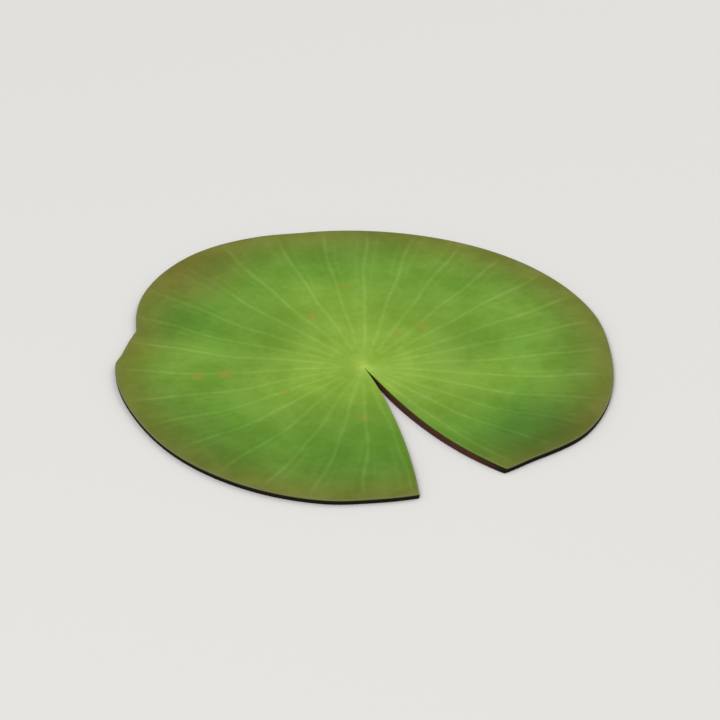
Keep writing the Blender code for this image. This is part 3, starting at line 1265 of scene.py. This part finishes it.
@dataclass(frozen=True)
class UpperFinish(Finish):
    """The waxy green upper side: pale heart and veins, olive rim, brown specks, and a painted highlight
    along its edges.
    """

    name: str = "upper_side"
    by_share: tuple[Stop, ...] = (
        (0.0, leaf(178, 206, 97)), (0.02, leaf(163, 193, 84)), (0.05, leaf(145, 178, 71)),
        (0.10, leaf(134, 169, 64)), (0.20, leaf(132, 167, 63)), (0.35, leaf(121, 157, 60)),
        (0.50, leaf(115, 153, 58)), (0.80, leaf(101, 146, 54)),
    )
    by_rim: tuple[Stop, ...] = (
        (0.0, leaf(114, 120, 60)), (4.0, leaf(113, 123, 54)), (15.0, leaf(106, 134, 54)),
        (22.0, leaf(105, 141, 55)), (40.0, leaf(111, 148, 57)),
    )
    rim_fade: Fade = (24.0, 40.0, 1.0, 0.0)
    streak_width: float = 2.2
    streak_breaks: float = 3.5
    streak_widens: Gain = (0.3, 0.85)
    streak_shade: float = 0.03
    deep: Colour = (0.55, 0.70, 0.62, 1.0)
    fresh: Colour = (1.30, 1.20, 1.26, 1.0)
    rust: Colour = (1.12, 0.80, 0.95, 1.0)
    pale: Colour = (1.27, 1.21, 1.60, 1.0)
    rust_hides_veins: float = -0.7
    mottle_size: float = 7.0
    mottle_shade: Gain = (0.05, 0.965)
    roughness: Gain = (0.12, 0.46)
    specular: float = 0.06
    bloom_size: float = 25.0
    bloom_detail: float = 4.0
    bloom_fineness: float = 0.75
    bloom_tints: tuple[Colour, Colour] = ((0.88, 0.91, 0.77, 1.0), (1.13, 1.10, 1.32, 1.0))
    # Painted highlight: a thin pale line round the rim and along the notch's margins.
    painted_edge_highlight: Colour = leaf(124, 122, 88)
    notch_painted_highlight: Colour = leaf(128, 136, 84)
    notch_tint: Colour = (0.88, 0.92, 0.76, 1.0)
    notch_fade: Fade = (1.5, 5.0, 1.0, 0.0)
    notch_starts: Span = (0.35, 0.6)
    notch_ends: Fade = (0.84, 0.97, 1.0, 0.0)
    painted_edge_highlight_fade: Fade = (0.1, 1.2, 0.55, 0.0)
    notch_painted_highlight_fade: Fade = (0.2, 1.1, 0.5, 0.0)
    notch_painted_highlight_starts: Span = (0.2, 0.4)
    vein_half_width: float = 0.85
    vein_strength: Gain = (0.6, 0.42)
    vein_starts: Span = (0.03, 0.2)
    vein_by_rim: Fade = (0.0, 13.0, 0.12, 1.0)
    break_size: float = 9.0
    break_fade: Fade = (0.3, 0.7, 0.8, 1.15)
    fork_half_width: float = 0.7
    fork_starts: Fade = (0.52, 0.68, 0.0, 0.27)
    fork_by_rim: Span = (2.0, 14.0)
    net_cell: float = 2.4
    net_line: float = 0.12
    relief: Relief = Relief(0.6, 0.25, 0.03, -0.35)
    ragged_size: float = 1.6
    ragged_fade: Fade = (0.25, 0.6, 0.55, 1.0)
    ring_power: float = 0.3
    speck: Colour = leaf(158, 142, 62)
    speck_ring: Colour = (0.88, 1.0, 0.97, 1.0)
    specks: tuple[Patch, ...] = (
        Patch(94.0, 49.0, 3.2, 0.60), Patch(72.5, 69.0, 2.5, 0.45), Patch(27.5, 43.5, 3.4, 0.60),
        Patch(35.5, 31.5, 2.8, 0.50), Patch(160.5, 61.5, 3.4, 0.70), Patch(160.5, 74.5, 3.4, 0.60),
        Patch(185.5, 40.0, 2.4, 0.40), Patch(245.0, 40.5, 2.8, 0.55),
    )
    deep_patches: tuple[Patch, ...] = (
        Patch(-55.0, 90.0, 25.0, 0.9), Patch(-65.0, 85.0, 20.0, 0.5), Patch(240.0, 65.0, 30.0, 0.6),
        Patch(205.0, 95.0, 20.0, 0.3), Patch(190.0, 90.0, 25.0, 0.4), Patch(130.0, 90.0, 15.0, 0.5),
        Patch(120.0, 55.0, 20.0, 0.4), Patch(75.0, 90.0, 15.0, 0.3), Patch(0.0, 55.0, 20.0, 0.5),
    )
    fresh_patches: tuple[Patch, ...] = (
        Patch(80.0, 60.0, 25.0, 0.9), Patch(-30.0, 65.0, 25.0, 0.9), Patch(45.0, 100.0, 20.0, 0.7),
        Patch(150.0, 85.0, 20.0, 0.9), Patch(10.0, 80.0, 25.0, 0.8), Patch(185.0, 40.0, 15.0, 0.6),
        Patch(25.0, 40.0, 15.0, 0.4), Patch(80.0, 120.0, 20.0, 0.6),
    )
    rust_patches: tuple[Patch, ...] = (
        Patch(105.0, 110.0, 20.0, 0.8), Patch(115.0, 105.0, 15.0, 0.7), Patch(-50.0, 105.0, 20.0, 0.5),
    )

    def paint(self, sheet: Sheet) -> Paint:
        """Lay the colour and the roughness.

        Args:
            sheet: the material's nodes.

        Returns:
            The colour, the roughness and the net or None.
        """
        streaks = self.streaks(sheet)
        colour = self.ground(sheet, streaks)
        for tint, patches in (
            (self.deep, self.deep_patches),
            (self.fresh, self.fresh_patches),
            (self.rust, self.rust_patches),
        ):
            patched = patches_mask(sheet, patches)
            colour = sheet.tint(patched, colour, tint)
        off_rust = sheet.sum("MULTIPLY_ADD", patched, self.rust_hides_veins, 1.0, clamp=True)

        by_notch = sheet.product(
            sheet.fade("notch_away", *self.notch_fade),
            sheet.fade("share", *self.notch_starts),
            sheet.fade("share", *self.notch_ends),
        )
        colour = sheet.tint(by_notch, colour, self.notch_tint)

        bloom = sheet.noise(PLACES, self.bloom_size, self.bloom_detail)
        sheet.feed(bloom.node.inputs["Roughness"], self.bloom_fineness)
        bloom = sheet.blend(sheet.fade(bloom, *NOISE_RANGE), *self.bloom_tints)
        colour = sheet.tint(1.0, colour, bloom)
        mottle = sheet.use(Effect.MOTTLE, Places=PLACES, Size=self.mottle_size)
        shade = sheet.sum("MULTIPLY_ADD", mottle, *self.mottle_shade)
        shade = sheet.sum("MULTIPLY_ADD", streaks, self.streak_shade, shade)
        grey = sheet.add("ShaderNodeCombineColor")
        for socket in grey.inputs:
            sheet.feed(socket, shade)
        colour = sheet.tint(1.0, colour, grey.outputs[0])

        colour = sheet.tint(self.veins(sheet, off_rust), colour, self.pale)
        colour = self.speckled(sheet, colour)
        # painted highlight, a thin pale line along the notch's margins and round the rim
        starts = sheet.fade("share", *self.notch_painted_highlight_starts)
        notch_painted_highlight = sheet.product(sheet.fade("notch_away", *self.notch_painted_highlight_fade), starts)
        colour = sheet.blend(notch_painted_highlight, colour, self.notch_painted_highlight)
        colour = sheet.blend(sheet.fade("rim_away", *self.painted_edge_highlight_fade), colour, self.painted_edge_highlight)
        net = sheet.use(Effect.NET, Places=PLACES, Cell=self.net_cell, Line=self.net_line)
        return colour, sheet.sum("MULTIPLY_ADD", mottle, *self.roughness), net

    def ground(self, sheet: Sheet, streaks: NodeSocket) -> NodeSocket:
        """Colour by distance from the stalk, and by distance from the rim near it.

        Args:
            sheet: the material's nodes.
            streaks: streaks that make the rim's band uneven.

        Returns:
            The colour.
        """
        widen = sheet.sum("MULTIPLY_ADD", streaks, *self.streak_widens)
        in_from_rim = sheet.product("rim_away", widen)
        widest = self.by_rim[-1][0]
        stops = [(away / widest, colour) for away, colour in self.by_rim]
        band = sheet.colours(sheet.sum("DIVIDE", in_from_rim, widest), *stops)
        near_rim = sheet.fade(in_from_rim, *self.rim_fade)
        return sheet.blend(near_rim, sheet.colours("share", *self.by_share), band)

    def veins(self, sheet: Sheet, off_rust: NodeSocket) -> NodeSocket:
        """Mask of the pale veins and their forks.

        Args:
            sheet: the material's nodes.
            off_rust: 1 where there is no rust.

        Returns:
            The mask.
        """
        vein = sheet.product(
            sheet.use(Effect.LINE, Away="rib_away", Half_width=self.vein_half_width),
            sheet.sum("MULTIPLY_ADD", "share", *self.vein_strength),
            sheet.fade("share", *self.vein_starts),
            sheet.fade("rim_away", *self.vein_by_rim),
            off_rust,
            sheet.fade(sheet.noise(PLACES, self.break_size, 1.0), *self.break_fade),
        )
        fork = sheet.product(
            sheet.use(Effect.LINE, Away="fork_away", Half_width=self.fork_half_width),
            sheet.fade("share", *self.fork_starts),
            sheet.fade("rim_away", *self.fork_by_rim),
        )
        return sheet.sum("MAXIMUM", vein, fork)

    def speckled(self, sheet: Sheet, colour: NodeSocket) -> NodeSocket:
        """Put the specks, and a faint ring round each, on a colour.

        Args:
            sheet: the material's nodes.
            colour: the colour.

        Returns:
            The colour with its specks.
        """
        specks = patches_mask(sheet, self.specks)
        colour = sheet.tint(sheet.sum("POWER", specks, self.ring_power), colour, self.speck_ring)
        ragged = sheet.fade(sheet.noise(PLACES, self.ragged_size), *self.ragged_fade)
        return sheet.blend(sheet.product(specks, ragged), colour, self.speck)

    def streaks(self, sheet: Sheet) -> NodeSocket:
        """Faint streaks that run outwards between the veins.

        Args:
            sheet: the material's nodes.

        Returns:
            The streaks, as noise.
        """
        fan = sheet.add("ShaderNodeCombineXYZ")
        sheet.feed(fan.inputs["X"], sheet.sum("DIVIDE", "bearing", self.streak_width))
        sheet.feed(fan.inputs["Y"], sheet.product("share", self.streak_breaks))
        return sheet.noise(fan.outputs["Vector"], 1.0)


@dataclass(frozen=True)
class WallFinish(Finish):
    """The edge of the blade: purple brown in the notch, with painted shade that darkens it towards the
    lobe's tip and makes it nearly black round the rim.
    """

    name: str = "edge_wall"
    notch_colours: tuple[Stop, ...] = (
        (0.0, srgb(64, 68, 20)), (0.2, srgb(64, 54, 25)), (0.4, srgb(68, 46, 29)),
        (0.65, srgb(72, 40, 36)), (1.0, srgb(74, 44, 48)),
    )
    # Painted shade: the notch wall darkens towards the lobe's tip, where it turns away from the light.
    notch_tip_painted_shade: Colour = srgb(40, 27, 20)
    # Painted shade: the wall round the rim gets nearly black colours, darker lower down, for the shade
    # it stands in.
    rim_painted_shade_colours: tuple[Stop, ...] = (
        (0.0, srgb(50, 48, 22)), (0.25, srgb(30, 25, 14)), (1.0, srgb(24, 19, 12)),
    )
    notch_tip_shade_fade: Fade = (0.8, 1.0, 0.0, 0.8)
    notch_fade: Fade = (0.3, 3.0, 1.0, 0.0)
    notch_ends: Fade = (0.93, 1.0, 1.0, 0.0)
    mottle_size: float = 3.0
    mottle_shift: Gain = (0.16, -0.08)
    roughness: float = 0.7
    specular: float = 0.06
    relief: Relief = Relief(0.5, 0.3, 0.04)

    def paint(self, sheet: Sheet) -> Paint:
        """Lay the colour and the roughness.

        Args:
            sheet: the material's nodes.

        Returns:
            The colour, the roughness and the net or None.
        """
        mottle = sheet.use(Effect.MOTTLE, Places=PLACES, Size=self.mottle_size)
        lower = sheet.sum("ADD", "depth", sheet.sum("MULTIPLY_ADD", mottle, *self.mottle_shift))
        notch = sheet.colours(lower, *self.notch_colours)
        # painted shade that darkens the notch wall towards the lobe's tip
        notch = sheet.blend(sheet.fade("share", *self.notch_tip_shade_fade), notch, self.notch_tip_painted_shade)
        # painted shade round the rim, nearly black
        rim = sheet.colours(lower, *self.rim_painted_shade_colours)
        ends = sheet.fade("share", *self.notch_ends)
        in_notch = sheet.product(sheet.fade("notch_away", *self.notch_fade), ends)
        return sheet.blend(in_notch, rim, notch), self.roughness, None


@dataclass(frozen=True)
class UnderFinish(Finish):
    """The purple brown underside with its paler ribs and net of veins."""

    name: str = "underside"
    panel: Colour = srgb(98, 54, 52)
    panel_deep: Colour = srgb(74, 38, 42)
    panel_green: Colour = srgb(96, 84, 44)
    rib: Colour = srgb(134, 124, 74)
    rim: Colour = srgb(46, 34, 20)
    rim_fade: Fade = (0.4, 3.0, 0.85, 0.0)
    green_size: float = 22.0
    green_fade: Fade = (0.1, 0.6, 0.8, 0.25)
    mottle_size: float = 5.0
    net_cell: float = 2.6
    net_line: float = 0.14
    net_strength: float = 0.3
    rib_half_width: Fade = (0.0, 1.0, 1.1, 0.5)
    fork_half_width: float = 0.5
    fork_starts: Fade = (0.5, 0.62, 0.0, 0.8)
    rib_strength: float = 0.85
    roughness: Gain = (0.14, 0.5)
    specular: float = 0.25
    relief: Relief = Relief(0.7, 0.4, 0.06, 0.5)

    def paint(self, sheet: Sheet) -> Paint:
        """Lay the colour and the roughness.

        Args:
            sheet: the material's nodes.

        Returns:
            The colour, the roughness and the net or None.
        """
        mottle = sheet.use(Effect.MOTTLE, Places=PLACES, Size=self.mottle_size)
        colour = sheet.blend(mottle, self.panel, self.panel_deep)
        broad = sheet.use(Effect.MOTTLE, Places=PLACES, Size=self.green_size)
        green = sheet.product(broad, sheet.fade("share", *self.green_fade))
        colour = sheet.blend(green, colour, self.panel_green)
        net = sheet.use(Effect.NET, Places=PLACES, Cell=self.net_cell, Line=self.net_line)
        colour = sheet.blend(sheet.product(net, self.net_strength), colour, self.rib)
        width = sheet.fade("share", *self.rib_half_width)
        rib = sheet.use(Effect.LINE, Away="rib_away", Half_width=width)
        fork = sheet.use(Effect.LINE, Away="fork_away", Half_width=self.fork_half_width)
        fork = sheet.product(fork, sheet.fade("share", *self.fork_starts))
        lines = sheet.product(sheet.sum("MAXIMUM", rib, fork), self.rib_strength)
        colour = sheet.blend(lines, colour, self.rib)
        edge = sheet.sum("MINIMUM", "rim_away", "notch_away")
        colour = sheet.blend(sheet.fade(edge, *self.rim_fade), colour, self.rim)
        return colour, sheet.sum("MULTIPLY_ADD", mottle, *self.roughness), net


@dataclass(frozen=True)
class CutFinish(Finish):
    """The foot of the stalk: brown green skin, pale cut face and dark canals."""

    name: str = "stalk_cut"
    skin: Colour = srgb(112, 84, 52)
    cut: Colour = srgb(176, 178, 116)
    bruised: Colour = srgb(146, 122, 70)
    canal: Colour = srgb(70, 62, 34)
    cut_height: float = 0.03
    canal_height: float = 0.5
    radius: float = 3.1
    radius_fade: float = 0.2
    mottle_size: float = 1.4
    roughness: Gain = (0.2, 0.5)
    specular: float = 0.3
    relief: Relief = Relief(0.25, 0.4, 0.05)

    def paint(self, sheet: Sheet) -> Paint:
        """Lay the colour and the roughness.

        Args:
            sheet: the material's nodes.

        Returns:
            The colour, the roughness and the net or None.
        """
        parts = sheet.add("ShaderNodeSeparateXYZ")
        sheet.feed(parts.inputs[0], PLACES)
        flat = sheet.add("ShaderNodeVectorMath", operation="MULTIPLY")
        sheet.feed(flat.inputs[0], PLACES)
        flat.inputs[1].default_value = (1.0, 1.0, 0.0)
        length = sheet.add("ShaderNodeVectorMath", operation="LENGTH")
        sheet.feed(length.inputs[0], flat.outputs[0])
        mottle = sheet.use(Effect.MOTTLE, Places=PLACES, Size=self.mottle_size)
        colour = sheet.blend(mottle, self.cut, self.bruised)
        in_canal = sheet.fade(parts.outputs["Z"], self.cut_height, self.canal_height)
        colour = sheet.blend(in_canal, colour, self.canal)
        outside = sheet.fade(length.outputs["Value"], self.radius, self.radius + self.radius_fade)
        skin = sheet.blend(mottle, self.skin, self.bruised)
        colour = sheet.blend(outside, colour, skin)
        return colour, sheet.sum("MULTIPLY_ADD", mottle, *self.roughness), None


@dataclass
class Studio:
    """A plain pale floor under plain soft light."""

    floor_colour: Colour = srgb(224, 223, 220)
    floor_size: float = 8.0
    floor_gap: float = 0.1 * MM
    floor_roughness: float = 0.9
    floor_specular: float = 0.1
    sky: float = 0.62
    key_place: Place = (-1.5, -1.2, 2.2)
    key_size: float = 1.6
    key_power: float = 34.0
    fill_place: Place = (1.6, 0.6, 1.9)
    fill_size: float = 1.8
    fill_power: float = 14.0

    def build(self) -> None:
        """Lay the floor and hang the lights."""
        bpy.ops.mesh.primitive_plane_add(size=self.floor_size, location=(0.0, 0.0, -self.floor_gap))
        floor = bpy.context.object
        floor.name = "studio_floor"
        material, _, shader = start_material("pale_floor", self.floor_specular)
        shader["Roughness"].default_value = self.floor_roughness
        shader["Base Color"].default_value = self.floor_colour
        floor.data.materials.append(material)

        world = bpy.data.worlds.new("soft_sky")
        world.use_nodes = True
        sky = world.node_tree.nodes["Background"].inputs
        sky["Color"].default_value = (1.0, 1.0, 1.0, 1.0)
        sky["Strength"].default_value = self.sky
        bpy.context.scene.world = world
        self.hang("key", self.key_place, self.key_size, self.key_power)
        self.hang("fill", self.fill_place, self.fill_size, self.fill_power)
        bpy.context.scene.view_settings.view_transform = "Standard"

    def hang(self, name: str, place: Place, size: float, power: float) -> None:
        """Hang a square soft light that looks at the pad.

        Args:
            name: the light's name.
            place: where it hangs.
            size: length of its sides.
            power: its power in watts.
        """
        light = bpy.data.lights.new(name, "AREA")
        light.shape = "SQUARE"
        light.size = size
        light.energy = power
        lamp = put_in_scene(name, light)
        lamp.location = place
        lamp.rotation_euler = (-Vector(place)).to_track_quat("-Z", "Y").to_euler()


@dataclass
class PhotoCamera:
    """The camera of the photo: a long lens that looks down on the pad from the front left."""

    stalk_place: Vector
    azimuth: float = -25.0
    elevation: float = 32.5
    lens: float = 200.0
    sensor: float = 36.0
    distance: float = 1.7742
    aim_from_stalk: Place = (-0.846, 2.383, 5.230)

    def build(self) -> Object:
        """Make the camera and look through it.

        Returns:
            The camera.
        """
        turn, rise = math.radians(self.azimuth), math.radians(self.elevation)
        back = Vector((
            math.sin(turn) * math.cos(rise),
            -math.cos(turn) * math.cos(rise),
            math.sin(rise),
        ))
        lens = bpy.data.cameras.new("photo_camera")
        lens.lens = self.lens
        lens.sensor_width = self.sensor
        camera = put_in_scene("photo_camera", lens)
        aim = self.stalk_place + Vector(self.aim_from_stalk) * MM
        camera.location = aim + back * self.distance
        camera.rotation_euler = (-back).to_track_quat("-Z", "Y").to_euler()
        bpy.context.scene.camera = camera
        return camera


def stalk_in_frame(outline: Outline) -> Vector:
    """Find where the stalk stands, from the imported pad's box and the outline's middle.

    Args:
        outline: outline of the blade.

    Returns:
        The stalk's place in the frame, in metres.
    """
    low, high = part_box(PAD_NODE)
    middle = outline.middle() * MM
    box_middle = (low + high) / 2.0
    return Vector((box_middle.x - middle[0], box_middle.y - middle[1], 0.0))


def report(piece: Object) -> None:
    """Log a piece's name and how many faces it has."""
    LOG.info("%s: %d faces", piece.name, len(piece.data.polygons))


def main() -> None:
    """Build the pad, dress it and set up the studio and the camera."""
    logging.basicConfig(level=logging.INFO, format="%(name)s: %(message)s")
    outline = Outline()
    stalk_place = stalk_in_frame(outline)
    LOG.info("stalk at %.4f, %.4f mm", stalk_place.x / MM, stalk_place.y / MM)
    PhotoCamera(stalk_place).build()
    Effects().build()

    blade = PadBlade(outline, RibFan(outline), Section(), Lanes(), stalk_place)
    report(blade.build())
    blade.dress({
        Surface.UPPER: UpperFinish().make(),
        Surface.WALL: WallFinish().make(),
        Surface.UNDER: UnderFinish().make(),
    })
    foot = StalkFoot(stalk_place)
    report(foot.build())
    foot.dress(CutFinish().make())
    Studio().build()


if __name__ == "__main__":
    main()
